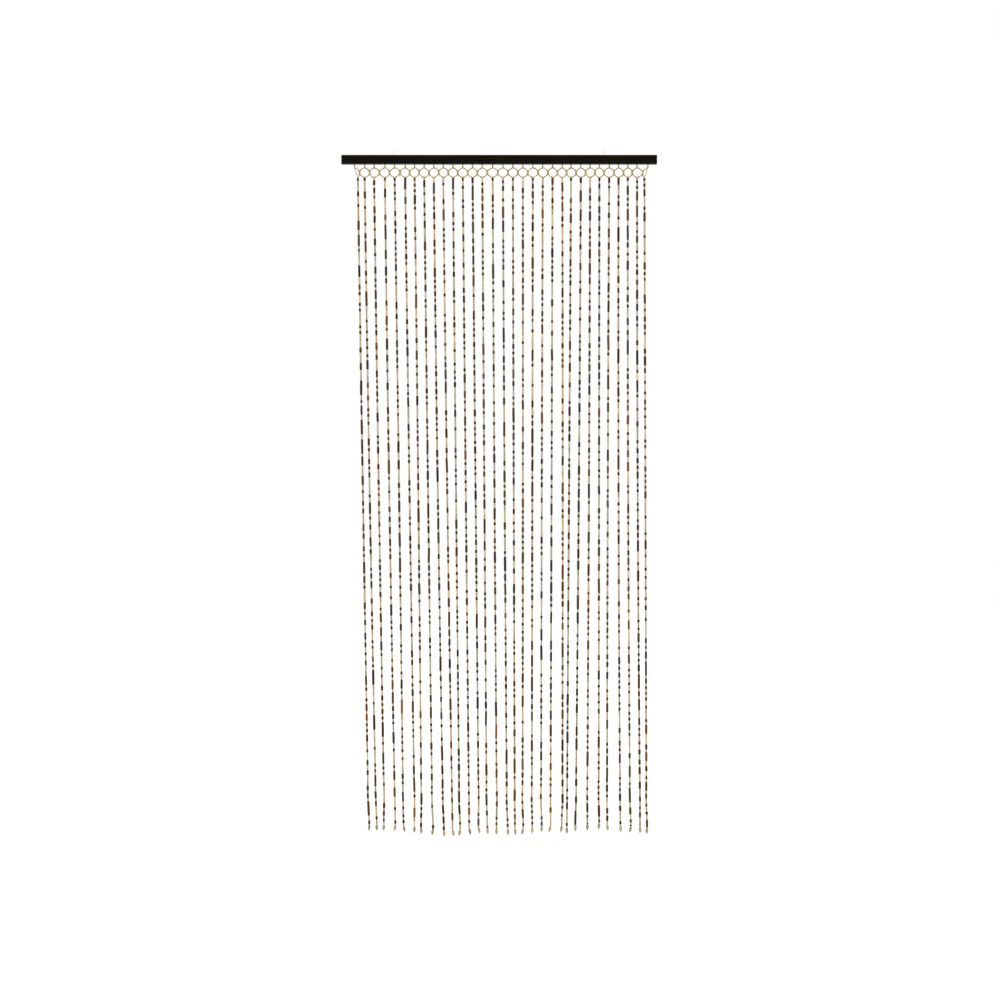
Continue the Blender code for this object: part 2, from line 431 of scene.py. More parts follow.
class Finish:
    """A material made of nodes around one Principled shader."""

    def __init__(self, name):
        self.material = bpy.data.materials.new(name)
        self.material.use_nodes = True
        self.tree = self.material.node_tree
        self.surface = self.tree.nodes["Principled BSDF"]

    def feed(self, socket, value):
        """Links a socket to another, or sets its value."""
        if isinstance(value, Number):
            value = value.socket
        if isinstance(value, bpy.types.NodeSocket):
            self.tree.links.new(value, socket)
        else:
            socket.default_value = value

    def node(self, kind, settings, inputs):
        """A new node, with its settings made first and its sockets set or linked after them."""
        node = self.tree.nodes.new(kind)
        for name, value in settings.items():
            if name == "stops":
                set_stops(node.color_ramp, value)
            else:
                setattr(node, name, value)
        for name, value in inputs.items():
            self.feed(node.inputs[name], value)
        return node

    def maths(self, operation, *values):
        """A Math node on numbers or sockets."""
        node = self.node("ShaderNodeMath", {"operation": operation}, dict(enumerate(values)))
        return Number(self, node.outputs[0])

    def attribute(self, name):
        """The Attribute node of a value that the mesh holds."""
        return self.node("ShaderNodeAttribute", {"attribute_name": name}, {})

    def value_of(self, name):
        """A number that the mesh holds at each point."""
        return Number(self, self.attribute(name).outputs["Fac"])

    def parts(self, vector):
        """The X, Y and Z of a vector."""
        outputs = self.node("ShaderNodeSeparateXYZ", {}, {0: vector}).outputs
        return [Number(self, part) for part in outputs]

    def stretch(self, vector, scales):
        """A vector multiplied by three scales."""
        settings = {"operation": "MULTIPLY"}
        return self.node("ShaderNodeVectorMath", settings, {0: vector, 1: scales}).outputs[0]

    def noise(self, vector, scale=1.0, detail=2.0, roughness=0.5):
        """Noise from 0 to 1 in three dimensions."""
        inputs = {"Vector": vector, "Scale": scale, "Detail": detail, "Roughness": roughness}
        return Number(self, self.node("ShaderNodeTexNoise", {}, inputs).outputs["Fac"])

    def between(self, value, low, high):
        """A number that rises smoothly from 0 at low to 1 at high."""
        settings = {"interpolation_type": "SMOOTHSTEP"}
        inputs = {"Value": value, "From Min": low, "From Max": high}
        return Number(self, self.node("ShaderNodeMapRange", settings, inputs).outputs["Result"])

    def ramp(self, value, stops):
        """A colour read from stops of (place, colour)."""
        return self.node("ShaderNodeValToRGB", {"stops": stops}, {"Fac": value}).outputs["Color"]

    def mix(self, share, one, other, blend="MIX"):
        """One colour at a share of 0 and the other, or the two blended, at 1."""
        settings = {"data_type": "RGBA", "blend_type": blend, "clamp_factor": True}
        return self.node("ShaderNodeMix", settings, {0: share, 6: one, 7: other}).outputs[2]

    def bump(self, height, strength, distance):
        """Raises the surface's normal by a height."""
        inputs = {"Height": height, "Strength": strength, "Distance": distance}
        self.set("Normal", self.node("ShaderNodeBump", {}, inputs).outputs["Normal"])

    def set(self, name, value):
        """Sets or links one of the shader's own sockets."""
        self.feed(self.surface.inputs[name], value)


def set_stops(ramp, stops):
    """Gives a colour ramp its stops."""
    while len(ramp.elements) < len(stops):
        ramp.elements.new(1.0)
    for element, (place, colour) in zip(ramp.elements, stops):
        element.position = place
        element.color = colour


def rgba(colour, brightness=1.0):
    """A colour with its alpha, made brighter or darker."""
    return (*(min(1.0, part * brightness) for part in colour), 1.0)


def tinted(colour, red, green, blue):
    """A colour with each of its parts made stronger or weaker."""
    return (colour[0] * red, colour[1] * green, colour[2] * blue)


def bamboo_finish(name, shades, hues, cut_colour, roughness, gloss):
    """Bamboo: a tone and a hue for each tube, long fibres, soft blotches and darker cut ends.

    shades are pairs of (tone, brightness), hues pairs of (hue, colour at a brightness of 1).
    """
    finish = Finish(name)
    fibre = finish.attribute("fibre").outputs["Vector"]
    streaks = finish.noise(finish.stretch(fibre, (2400.0, 2400.0, 70.0)), detail=3.0)
    blotches = finish.noise(finish.stretch(fibre, (240.0, 240.0, 110.0)), detail=2.0)
    pores = finish.noise(finish.stretch(fibre, (5200.0, 5200.0, 700.0)), detail=1.0)
    tone = finish.value_of("tone") + (streaks - 0.5) * 0.62 + (blotches - 0.5) * 0.40
    brightest = shades[-1][1]
    greys = [(place, rgba(WHITE, part / brightest)) for place, part in shades]
    tints = [(place, rgba(part, brightest)) for place, part in hues]
    shade = finish.ramp(tone, greys)
    hue = finish.ramp(finish.value_of("hue"), tints)
    colour = finish.mix(1.0, shade, hue, "MULTIPLY")
    dark_pores = finish.between(pores, 0.60, 0.78) * 0.35
    colour = finish.mix(dark_pores, colour, cut_colour)
    colour = finish.mix(finish.between(finish.value_of("cut"), 0.15, 0.95) * 0.75, colour, cut_colour)
    finish.set("Base Color", colour)
    finish.set("Roughness", roughness + (streaks - 0.5) * 0.22 + dark_pores * 0.3)
    finish.set("Specular IOR Level", gloss)
    finish.bump(streaks * 0.7 + pores * 0.3, 0.35, 0.00012)
    return finish.material


def dark_bamboo(colour):
    """Stained and scorched bamboo, from near black to a light brown, in rust, umber, grey or olive."""
    shades = ((0.0, 0.45), (0.35, 1.0), (0.62, 1.7), (0.85, 2.7), (1.0, 3.8))
    hues = (
        (0.0, tinted(colour, 1.60, 0.90, 0.70)),
        (0.34, tinted(colour, 1.18, 1.00, 0.80)),
        (0.66, tinted(colour, 0.84, 1.00, 1.75)),
        (1.0, tinted(colour, 0.70, 1.14, 0.75)),
    )
    return bamboo_finish("dark_bamboo", shades, hues, rgba(colour, 0.4), 0.38, 0.10)


def pale_bamboo(name, colour):
    """Natural bamboo, from straw to cream, a little pink, grey or green."""
    shades = ((0.0, 0.62), (0.35, 0.88), (0.65, 1.12), (1.0, 1.38))
    hues = (
        (0.0, tinted(colour, 1.18, 1.00, 1.02)),
        (0.34, tinted(colour, 1.13, 1.05, 0.95)),
        (0.66, tinted(colour, 0.99, 1.00, 1.22)),
        (1.0, tinted(colour, 0.96, 1.07, 0.92)),
    )
    return bamboo_finish(name, shades, hues, rgba(colour, 0.38), 0.44, 0.30)


def waxed_string(colour):
    """Waxed cotton string of three strands twisted together, a little soiled, with painted shade in
    the grooves between the strands and painted light on their crests.
    """
    finish = Finish("waxed_string")
    fibre = finish.attribute("fibre").outputs["Vector"]
    x, y, z = finish.parts(fibre)
    turn = finish.maths("ARCTAN2", y, x)
    twist = finish.maths("SINE", turn * 3.0 + z * 3600.0) * 0.5 + 0.5
    soil = finish.noise(finish.stretch(fibre, (300.0, 300.0, 55.0)), detail=3.0)
    fuzz = finish.noise(finish.stretch(fibre, (7000.0, 7000.0, 2600.0)), detail=2.0)
    # Painted shade and light: the colour is darkened in the grooves between the twisted strands and
    # lightened on their crests
    painted_groove_shade = finish.mix((1 - twist) * 0.65, rgba(colour, 1.12), rgba(colour, 0.5))
    soiled = finish.between(soil, 0.42, 0.75) * 0.5
    finish.set("Base Color", finish.mix(soiled, painted_groove_shade, rgba(colour, 0.6)))
    finish.set("Roughness", 0.62 + fuzz * 0.25)
    finish.set("Specular IOR Level", 0.3)
    finish.bump(twist * 0.8 + fuzz * 0.2, 0.6, 0.00015)
    return finish.material


def black_lacquer(colour):
    """Satin black lacquer over a planed batten: faint grain, soft sheen and rubbed edges."""
    finish = Finish("black_lacquer")
    place = finish.node("ShaderNodeTexCoord", {}, {}).outputs["Object"]
    x, y, z = finish.parts(place)
    grain = finish.noise(finish.stretch(place, (9.0, 420.0, 420.0)), detail=4.0, roughness=0.6)
    pores = finish.noise(finish.stretch(place, (60.0, 2600.0, 2600.0)), detail=2.0)
    sheen = finish.noise(finish.stretch(place, (14.0, 60.0, 60.0)), detail=2.0)
    half_depth, half_height = BAR_HIGH.y, BAR_HEIGHT / 2
    out_y = finish.maths("ABSOLUTE", y) / half_depth
    out_z = finish.maths("ABSOLUTE", z + half_height) / half_height
    corner = finish.between(out_y * out_z, 0.84, 0.93)
    out_x = finish.maths("ABSOLUTE", x) / BAR_HIGH.x
    corner = finish.maths("MAXIMUM", corner, finish.between(out_x, 0.9975, 0.9995) * 0.6)
    rubbed = corner * finish.between(pores * 0.5 + sheen * 0.5, 0.46, 0.66) * 0.4
    depth = finish.mix(finish.between(grain, 0.3, 0.7), rgba(colour, 0.45), rgba(colour, 2.2))
    finish.set("Base Color", finish.mix(rubbed, depth, (0.016, 0.011, 0.007, 1.0)))
    finish.set("Roughness", 0.34 + (sheen - 0.5) * 0.20 + (grain - 0.5) * 0.14 + rubbed * 0.2)
    finish.set("Specular IOR Level", 0.05)
    finish.bump(grain * 0.6 + pores * 0.4, 0.22, 0.0003)
    return finish.material


def bright_wire(colour):
    """Bright plated steel wire with fine drawing marks and a few dull spots."""
    finish = Finish("bright_wire")
    fibre = finish.attribute("fibre").outputs["Vector"]
    drawn = finish.noise(finish.stretch(fibre, (9000.0, 9000.0, 260.0)), detail=2.0)
    dull = finish.noise(finish.stretch(fibre, (700.0, 700.0, 420.0)), detail=3.0)
    spots = finish.between(dull, 0.60, 0.74)
    finish.set("Base Color", finish.mix(spots * 0.6, rgba(colour), rgba(colour, 0.66)))
    finish.set("Metallic", 1.0)
    finish.set("Roughness", 0.20 + drawn * 0.12 + spots * 0.25)
    finish.bump(drawn, 0.2, 0.00005)
    return finish.material


def pale_floor(colour):
    """A plain pale floor."""
    finish = Finish("pale_floor")
    place = finish.node("ShaderNodeTexCoord", {}, {}).outputs["Object"]
    cloud = finish.noise(place, scale=1.5, detail=3.0)
    finish.set("Base Color", finish.mix(cloud * 0.25, rgba(colour), rgba(colour, 0.97)))
    finish.set("Roughness", 0.85)
    finish.set("Specular IOR Level", 0.2)
    return finish.material


class Surface:
    """Points, faces and point values of many turned shapes, gathered into one mesh.

    Every point holds its place in its own shape (fibre, with Z along the shape), the shape's
    tone and hue from 0 to 1, and how near it is to a cut end (cut).
    """

    def __init__(self):
        self.finishes = []
        self.points = []
        self.quads = []
        self.triangles = []
        self.quad_finish = []
        self.triangle_finish = []
        self.fibre = []
        self.tone = []
        self.hue = []
        self.cut = []
        self.count = 0

    def turn(
        self,
        finish,
        centres,
        along,
        down,
        radii,
        sides,
        tone,
        offset,
        cut,
        hue=0.5,
        dimple=0.0,
        across=ACROSS,
    ):
        """Adds closed turned shapes: rings of points round a line, with a pole at each end.

        centres and along are (shapes, rings, 3), down and radii are (shapes, rings). Point j of a
        ring is centre + radius * (cos a * side + sin a * front), with a = 2 pi j / sides, side the
        part of across that is square to along, and front square to both. A dimple sinks the poles
        into the shape.
        """
        shapes, rings = radii.shape
        along = along / np.linalg.norm(along, axis=2, keepdims=True)
        side = across - along * (along @ across)[..., None]
        side /= np.linalg.norm(side, axis=2, keepdims=True)
        front = np.cross(along, side)
        angle = np.arange(sides) * (2.0 * math.pi / sides)
        ring_x = radii[:, :, None] * np.cos(angle)
        ring_y = radii[:, :, None] * np.sin(angle)
        sideways = ring_x[..., None] * side[:, :, None]
        forwards = ring_y[..., None] * front[:, :, None]
        ring = centres[:, :, None] + sideways + forwards
        own = np.stack([ring_x, ring_y, np.broadcast_to(down[:, :, None], ring_x.shape)], axis=3)
        top = centres[:, 0] + along[:, 0] * dimple
        foot = centres[:, -1] - along[:, -1] * dimple
        poles = np.stack([top, foot], axis=1)
        own_poles = np.zeros((shapes, 2, 3))
        own_poles[:, 0, 2] = down[:, 0] + dimple
        own_poles[:, 1, 2] = down[:, -1] - dimple
        points = np.concatenate([ring.reshape(shapes, -1, 3), poles], axis=1)
        fibre = np.concatenate([own.reshape(shapes, -1, 3), own_poles], axis=1) + offset[:, None]
        ends = np.concatenate([np.repeat(cut, sides, axis=1), np.ones((shapes, 2))], axis=1)
        self.tone.append(np.repeat(tone, points.shape[1]))
        self.hue.append(np.repeat(np.broadcast_to(hue, shapes), points.shape[1]))
        self.join(finish, points, fibre, ends, rings, sides)

    def join(self, finish, points, fibre, cut, rings, sides):
        """Adds the points of shapes that all have the same rings and sides, and their faces."""
        shapes, size = points.shape[:2]
        k, j = np.meshgrid(np.arange(rings - 1), np.arange(sides), indexing="ij")
        here = k * sides
        below = here + sides
        next_j = (j + 1) % sides
        quads = np.stack([here + j, here + next_j, below + next_j, below + j], axis=2)
        j = np.arange(sides)
        next_j = (j + 1) % sides
        last = (rings - 1) * sides
        top = np.stack([np.full(sides, size - 2), next_j, j], axis=1)
        foot = np.stack([last + j, last + next_j, np.full(sides, size - 1)], axis=1)
        triangles = np.concatenate([top, foot])
        starts = self.count + np.arange(shapes)[:, None, None] * size
        self.quads.append((quads.reshape(1, -1, 4) + starts).reshape(-1, 4))
        self.triangles.append((triangles[None] + starts).reshape(-1, 3))
        if finish not in self.finishes:
            self.finishes.append(finish)
        number = self.finishes.index(finish)
        self.quad_finish.append(np.full(len(self.quads[-1]), number))
        self.triangle_finish.append(np.full(len(self.triangles[-1]), number))
        self.points.append(points.reshape(-1, 3))
        self.fibre.append(fibre.reshape(-1, 3))
        self.cut.append(cut.reshape(-1))
        self.count += shapes * size

    def piece(self, name, slot, *nodes):
        """Makes the gathered shapes one smooth object that stands for nodes of the frame."""
        mesh = bpy.data.meshes.new(name)
        points = np.concatenate(self.points)
        quads, triangles = np.concatenate(self.quads), np.concatenate(self.triangles)
        corners = np.concatenate([quads.reshape(-1), triangles.reshape(-1)])
        counts = np.concatenate([np.full(len(quads), 4), np.full(len(triangles), 3)])
        mesh.vertices.add(len(points))
        mesh.vertices.foreach_set("co", points.astype(np.float32).reshape(-1))
        mesh.loops.add(len(corners))
        mesh.loops.foreach_set("vertex_index", corners.astype(np.int32))
        mesh.polygons.add(len(counts))
        mesh.polygons.foreach_set("loop_start", (np.cumsum(counts) - counts).astype(np.int32))
        number = np.concatenate(self.quad_finish + self.triangle_finish)
        mesh.polygons.foreach_set("material_index", number.astype(np.int32))
        mesh.update(calc_edges=True)
        mesh.shade_smooth()
        for label, kind, values, field in (
            ("fibre", "FLOAT_VECTOR", self.fibre, "vector"),
            ("tone", "FLOAT", self.tone, "value"),
            ("hue", "FLOAT", self.hue, "value"),
            ("cut", "FLOAT", self.cut, "value"),
        ):
            layer = mesh.attributes.new(label, kind, "POINT")
            layer.data.foreach_set(field, np.concatenate(values).astype(np.float32).reshape(-1))
        for finish in self.finishes:
            mesh.materials.append(finish)
        obj = bpy.data.objects.new(name, mesh)
        bpy.context.scene.collection.objects.link(obj)
        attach(obj, "root")
        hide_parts(*nodes)
        return obj


def hang_of(strand):
    """Shift, half sway, foot sway and extra length of a strand, in metres, read between the rows."""
    number = strand + 1
    for low, high in zip(HANG_ROWS, HANG_ROWS[1:]):
        if number <= high[0]:
            share = (number - low[0]) / (high[0] - low[0])
            return [MILLIMETRE * (a + (b - a) * share) for a, b in zip(low[1:], high[1:])]
    raise ValueError("a strand lies beyond the last row")


def attach_x(strand):
    """Where a strand's string leaves the bar."""
    return HEADING_SHIFT + (strand - (STRAND_COUNT - 1) / 2) * STRAND_PITCH + hang_of(strand)[0]


def root_x(strand):
    """Where a strand starts below the net; the outer ones are drawn in."""
    return attach_x(strand) + EDGE_TUCK.get(strand, 0.0)


def strand_length(strand):
    """Length from the root to the foot of the end bead."""
    return SHORTEST_STRAND + hang_of(strand)[3]


def strand_path(strand, down):
    """Points at distances down a strand.

    X follows a parabola through the root, the middle and the foot. Over the last stretch a wave
    that grows from nothing moves the light foot a little in X and Y.
    """
    chance = random.Random(FOOT_SEED + strand)
    stray_x, stray_y = (chance.uniform(-1, 1) * FOOT_WANDER for _ in range(2))
    _, half, foot, _ = hang_of(strand)
    length = strand_length(strand)
    share = down / length
    sway = share * (4.0 * half - foot) + share * share * (2.0 * foot - 4.0 * half)
    near_foot = np.maximum(0.0, 1.0 - (length - down) / FOOT_REACH)
    wave = near_foot * np.sin(2.0 * math.pi * FOOT_WAVES * near_foot)
    return np.stack([root_x(strand) + sway + stray_x * wave, stray_y * wave, ROOT_Z - down], axis=-1)


def thread_beads(strand):
    """(start, length, dark) of each bead or pale run down a strand, dark and pale by turns."""
    chance = random.Random(BEAD_SEED + strand)
    dark = chance.random() < 0.5
    down = 0.0
    last = strand_length(strand) - END_BEAD_LENGTH
    beads = []
    while down < last:
        lengths, weights = (DARK_LENGTHS, DARK_WEIGHTS) if dark else (PALE_LENGTHS, PALE_WEIGHTS)
        length = min(chance.choices(lengths, weights)[0], last - down)
        beads.append((down, length, dark))
        down += length
        dark = not dark
    return beads


def split_pale_runs(beads):
    """Rows of (start, length, dark) in which a long pale run is two tubes end to end."""
    rows = []
    for start, length, dark in beads:
        parts = 1 if dark else math.ceil(length / LONGEST_PALE_TUBE)
        for part in range(parts):
            rows.append((start + part * length / parts, length / parts, dark))
    return np.array(rows, float)


def drifting_hue(starts, rng):
    """Hue of each tube down a strand. Tubes cut from one cane follow each other on the string.

    HUE_MIDDLE + the strand's own part + HUE_DRIFT * sin(2 pi (start / period + phase)) + a part
    for each tube.
    """
    period = rng.uniform(*HUE_PERIODS)
    wave = HUE_DRIFT * np.sin(2.0 * math.pi * (starts / period + rng.uniform()))
    strand_hue = HUE_MIDDLE + rng.normal(0.0, STRAND_HUE_SPREAD)
    return np.clip(strand_hue + wave + rng.normal(0.0, HUE_SPREAD, len(starts)), 0.0, 1.0)


def add_beads(surface, finish, starts, ends, radii, shoulder, tone, rng, hue=0.5):
    """Adds one bead or tube for each pair of points.

    The profile runs from the rim of the hole over a turned shoulder to the full radius, has a
    slight belly in the middle, and mirrors itself at the other end.
    """
    reach = ends - starts
    length = np.linalg.norm(reach, axis=1)
    turned = np.minimum(shoulder, LONGEST_SHOULDER * length)
    length = length[:, None]
    top = turned[:, None] * SHOULDER_PLACES
    down = np.concatenate([top, length / 2, length - top[:, ::-1]], axis=1)
    belly = 1.0 + rng.uniform(*BELLY_RANGE, length.shape)
    rim = np.broadcast_to(SHOULDER_RADII, top.shape)
    shares = np.concatenate([rim, belly, rim[:, ::-1]], axis=1)
    lean = rng.normal(0.0, 1.0, (len(length), 2)) * BEAD_LEAN
    along = reach / length + np.concatenate([lean, 0 * length], axis=1)
    middle = (starts + ends) / 2
    centres = middle[:, None] + along[:, None] * (down - length / 2)[:, :, None]
    surface.turn(
        finish,
        centres,
        np.broadcast_to(along[:, None], centres.shape),
        down,
        radii[:, None] * shares,
        BEAD_SIDES,
        tone,
        rng.uniform(0.0, 4.0, (len(length), 3)),
        np.clip(1.0 - np.minimum(down, length - down) / CUT_REACH, 0.0, 1.0),
        hue,
        dimple=HOLE_DIMPLE,
    )


def add_round_bead(surface, finish, start, end, radius, tone, hue, rng):
    """Adds one round-ended bead, with more faces than the small ones.

    Its radius is radius * (1 - |u|^4)^(1/2.4) with u from -1 to 1 along the string, stopped at
    the rims of its hole.
    """
    u = np.sin(np.linspace(-1.0, 1.0, ROUND_RINGS) * math.radians(ROUND_RIM))
    share = (u + 1.0) / 2.0
    full = (1.0 - np.abs(u) ** 4.0) ** (1.0 / 2.4)
    length = np.linalg.norm(end - start)
    centres = start + (end - start) * share[:, None]
    along = np.broadcast_to(end - start, centres.shape)
    edge = np.clip((np.abs(u) - ROUND_CUT) / ROUND_CUT_REACH, 0.0, 1.0)
    offset = rng.uniform(0.0, 4.0, (1, 3))
    surface.turn(
        finish,
        centres[None],
        along[None],
        (share * length)[None],
        (radius * full)[None],
        ROUND_SIDES,
        np.array([tone]),
        offset,
        edge[None],
        hue,
        dimple=ROUND_DIMPLE,
    )


def add_strings(surface, finish, centres, radius):
    """Adds round strings through points: centres is (strings, points, 3)."""
    steps = np.linalg.norm(np.diff(centres, axis=1), axis=2)
    down = np.concatenate([np.zeros((len(centres), 1)), np.cumsum(steps, axis=1)], axis=1)
    along = np.gradient(centres, axis=1)
    radii = np.full(down.shape, radius)
    radii[:, [0, -1]] *= STRING_END
    tone = np.full(len(centres), 0.5)
    offset = np.zeros((len(centres), 3))
    surface.turn(finish, centres, along, down, radii, STRING_SIDES, tone, offset, 0 * down)


def eased(knots, ease):
    """Points of lines through knots with every inner corner rounded.

    Each inner knot K becomes three points: K moved by ease towards the knot before it, the middle
    of a curve there, (before + 2 K + after) / 4, and K moved by ease towards the knot after it.
    """
    towards = np.diff(knots, axis=1)
    towards /= np.linalg.norm(towards, axis=2, keepdims=True)
    inner = knots[:, 1:-1]
    before = inner - towards[:, :-1] * ease
    after = inner + towards[:, 1:] * ease
    bend = (before + 2.0 * inner + after) / 4.0
    rounded = np.stack([before, bend, after], axis=2).reshape(len(knots), -1, 3)
    return np.concatenate([knots[:, :1], rounded, knots[:, -1:]], axis=1)


def net_knots():
    """Feet of the necks and waists of the net as arrays of (x, z)."""
    chance = random.Random(NET_SEED)
    top = -(BAR_HEIGHT + NECK_LENGTH)
    feet = np.array([(attach_x(i), top) for i in range(STRAND_COUNT)])
    waists = []
    for i in range(STRAND_COUNT - 1):
        x = (attach_x(i) + attach_x(i + 1)) / 2 + chance.uniform(-1, 1) * NET_UNEVENNESS
        z = top - CELL_HEIGHT / 2 + chance.uniform(-1, 1) * NET_UNEVENNESS
        waists.append((x, z))
    return feet, np.array(waists)


def bowed(start, end, middle, bow):
    """The middle of each line from start to end, moved straight away from a cell's middle."""
    centre = (start + end) / 2
    away = centre - middle
    return centre + away / np.linalg.norm(away, axis=1, keepdims=True) * bow


def in_space(flat, y):
    """Points (x, y, z) from rows of (x, z)."""
    return np.stack([flat[:, 0], np.full(len(flat), y), flat[:, 1]], axis=1)


def spanned(start, reach, span, y):
    """Points in space at two shares of a reach from its start, given as rows of (x, z)."""
    return [in_space(start + reach * share, y) for share in span]


def add_net_beads(surface, finish, ends, radius, kind, rng):
    """Adds one net bead or tube for each pair of points, with radius, tone and hue by chance.

    kind is how much the radius varies, the length of the turned shoulder and the range of tones.
    """
    low, high = ends
    spread, shoulder, tones = kind
    radii = radius * rng.uniform(1.0 - spread, 1.0 + spread, len(low))
    tone = rng.uniform(*tones, len(low))
    hue = rng.uniform(*NET_HUES, len(low))
    add_beads(surface, finish, low, high, radii, shoulder, tone, rng, hue)


class CURTAIN_OT_lacquer_bar(bpy.types.Operator):
    """Gives the bar its black lacquer"""

    bl_idname = "curtain.lacquer_bar"
    bl_label = "Lacquer Bar"

    def execute(self, context):
        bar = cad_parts["head_bar"]
        lacquer = black_lacquer(context.scene.curtain_bar.lacquer_colour)
        for slot in bar.material_slots:
            slot.material = lacquer
        return {"FINISHED"}


class CURTAIN_OT_bend_eyes(bpy.types.Operator):
    """Bends the two screw eyes from bright wire"""

    bl_idname = "curtain.bend_eyes"
    bl_label = "Bend Screw Eyes"

    def execute(self, context):
        bar = context.scene.curtain_bar
        wire = bright_wire(bar.wire_colour)
        for side in ("left", "right"):
            node = f"screw_eye_{side}"
            low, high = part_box(node)
            loop_radius = (high.x - low.x) / 2 - bar.wire_radius
            middle = Vector(((low.x + high.x) / 2, 0.0, high.z - bar.wire_radius - loop_radius))
            self.bend(node + "_wire", node, middle, loop_radius, low.z, wire, bar)
        return {"FINISHED"}

    def bend(self, name, node, middle, loop_radius, tip, wire, bar):
        """One eye: a straight shank that leans into a nearly closed loop.

        The loop is middle + radius * (cos a, 0, sin a) with a from LOOP_START to LOOP_END. The
        shank's radius is cut by a thread, 1 - depth * (0.5 + 0.5 * cos(2 pi turns * share)), which
        fades out below the bar's top face, and tapers to its tip.
        """
        angle = np.radians(np.linspace(LOOP_START, LOOP_END, LOOP_POINTS))
        loop = np.stack([np.cos(angle), 0 * angle, np.sin(angle)], axis=1) * loop_radius
        loop += np.array(middle)
        loop_foot = loop[0, 2]
        share = np.linspace(0.0, 1.0, TURN_POINTS * bar.thread_turns)
        shank_z = tip + share * (loop_foot - SHANK_GAP - tip)
        shank = np.stack([0 * share + middle.x, 0 * share, shank_z], axis=1)
        corner = np.array([middle.x, 0.0, loop_foot - BEND_DROP])
        bend = (shank[-1] + loop[0] + corner) / 3.0
        centres = np.concatenate([shank, bend[None], loop])[None]
        steps = np.linalg.norm(np.diff(centres, axis=1), axis=2)
        down = np.concatenate([[[0.0]], np.cumsum(steps, axis=1)], axis=1)
        depth = THREAD_DEPTH * np.clip(-shank_z / THREAD_FADE, 0.0, 1.0)
        thread = 1.0 - depth * (0.5 + 0.5 * np.cos(2.0 * math.pi * bar.thread_turns * share))
        thread *= np.clip(TIP_SHARE + (shank_z - tip) / TIP_LENGTH, TIP_SHARE, 1.0)
        radii = np.concatenate([thread, np.ones(len(loop) + 1)])
        radii[-1] = WIRE_END
        surface = Surface()
        surface.turn(
            wire,
            centres,
            np.gradient(centres, axis=1),
            down,
            bar.wire_radius * radii[None],
            WIRE_SIDES,
            np.array([0.5]),
            np.zeros((1, 3)),
            0 * down,
            across=AWAY,
        )
        surface.piece(name, "eye_wire", node)


class CURTAIN_OT_string_net(bpy.types.Operator):
    """Strings the net heading from the bar to the roots of the strands"""

    bl_idname = "curtain.string_net"
    bl_label = "String Net"

    def execute(self, context):
        net = context.scene.curtain_net
        rng = np.random.default_rng(NET_SEED)
        feet, waists = net_knots()
        roots = np.array([(root_x(i), ROOT_Z) for i in range(STRAND_COUNT)])
        self.lay_strings(net, feet, waists, roots)
        self.add_tubes(net, pale_bamboo("net_bamboo", net.tube_colour), feet, waists, roots, rng)
        return {"FINISHED"}

    def lay_strings(self, net, feet, waists, roots):
        """Two strings cross in each waist: the one down to the right in front, the other behind."""
        half = np.array([0.0, WAIST_HEIGHT / 2])
        into_bar = np.array([0.0, NECK_LENGTH + NECK_IN_BAR])
        into_strand = np.array([0.0, -STRING_IN_STRAND])
        middles = (feet + roots) / 2
        surface = Surface()
        string = waxed_string(net.string_colour)
        for above, below, y in (
            (slice(None, -1), slice(1, None), -STRING_OFFSET),
            (slice(1, None), slice(None, -1), STRING_OFFSET),
        ):
            first, last = feet[above], roots[below]
            stations = (
                first + into_bar,
                first,
                bowed(first, waists + half, middles[above], net.bow),
                waists + half,
                waists - half,
                bowed(waists - half, last, middles[below], net.bow),
                last,
                last + into_strand,
            )
            knots = np.stack([in_space(flat, y) for flat in stations], axis=1)
            add_strings(surface, string, eased(knots, WAIST_EASE), net.string_radius)
        first, last = feet[EDGES], roots[EDGES]
        stations = (first + into_bar, first, last, last + into_strand)
        knots = np.stack([in_space(flat, 0.0) for flat in stations], axis=1)
        add_strings(surface, string, eased(knots, EDGE_EASE), net.string_radius)
        surface.piece("net_strings", "bamboo", "net_and_strands")

    def add_tubes(self, net, pale, feet, waists, roots, rng):
        """Two slim tubes on each slanting string, a bead at each waist and a tube on each neck."""
        half = np.array([0.0, WAIST_HEIGHT / 2])
        middles = (feet + roots) / 2
        surface = Surface()
        for start, end, cells, y in (
            (feet[:-1], waists + half, middles[:-1], -STRING_OFFSET),
            (feet[1:], waists + half, middles[1:], STRING_OFFSET),
            (waists - half, roots[1:], middles[1:], -STRING_OFFSET),
            (waists - half, roots[:-1], middles[:-1], STRING_OFFSET),
        ):
            bend = bowed(start, end, cells, net.bow)
            for near, far in ((start, bend), (bend, end)):
                tubes = spanned(near, far - near, NET_TUBE_SPAN, y)
                add_net_beads(surface, pale, tubes, net.tube_radius, NET_TUBE, rng)
        shared = spanned(waists, half, (1.0, -1.0), 0.0)
        necks = spanned(feet, np.array([0.0, NECK_LENGTH]), NECK_TUBE_SPAN, 0.0)
        add_net_beads(surface, pale, shared, net.waist_radius, WAIST_BEAD, rng)
        add_net_beads(surface, pale, necks, net.neck_radius, NECK_TUBE, rng)
        low, high = spanned(feet[EDGES], roots[EDGES] - feet[EDGES], EDGE_TUBE_SPAN, 0.0)
        radii = np.full(len(EDGES), EDGE_TUBE_RADIUS)
        tone = np.array(EDGE_TUBE_TONES)
        add_beads(surface, pale, low, high, radii, EDGE_TUBE_SHOULDER, tone, rng)
        surface.piece("net_beads", "bamboo", "net_and_strands")


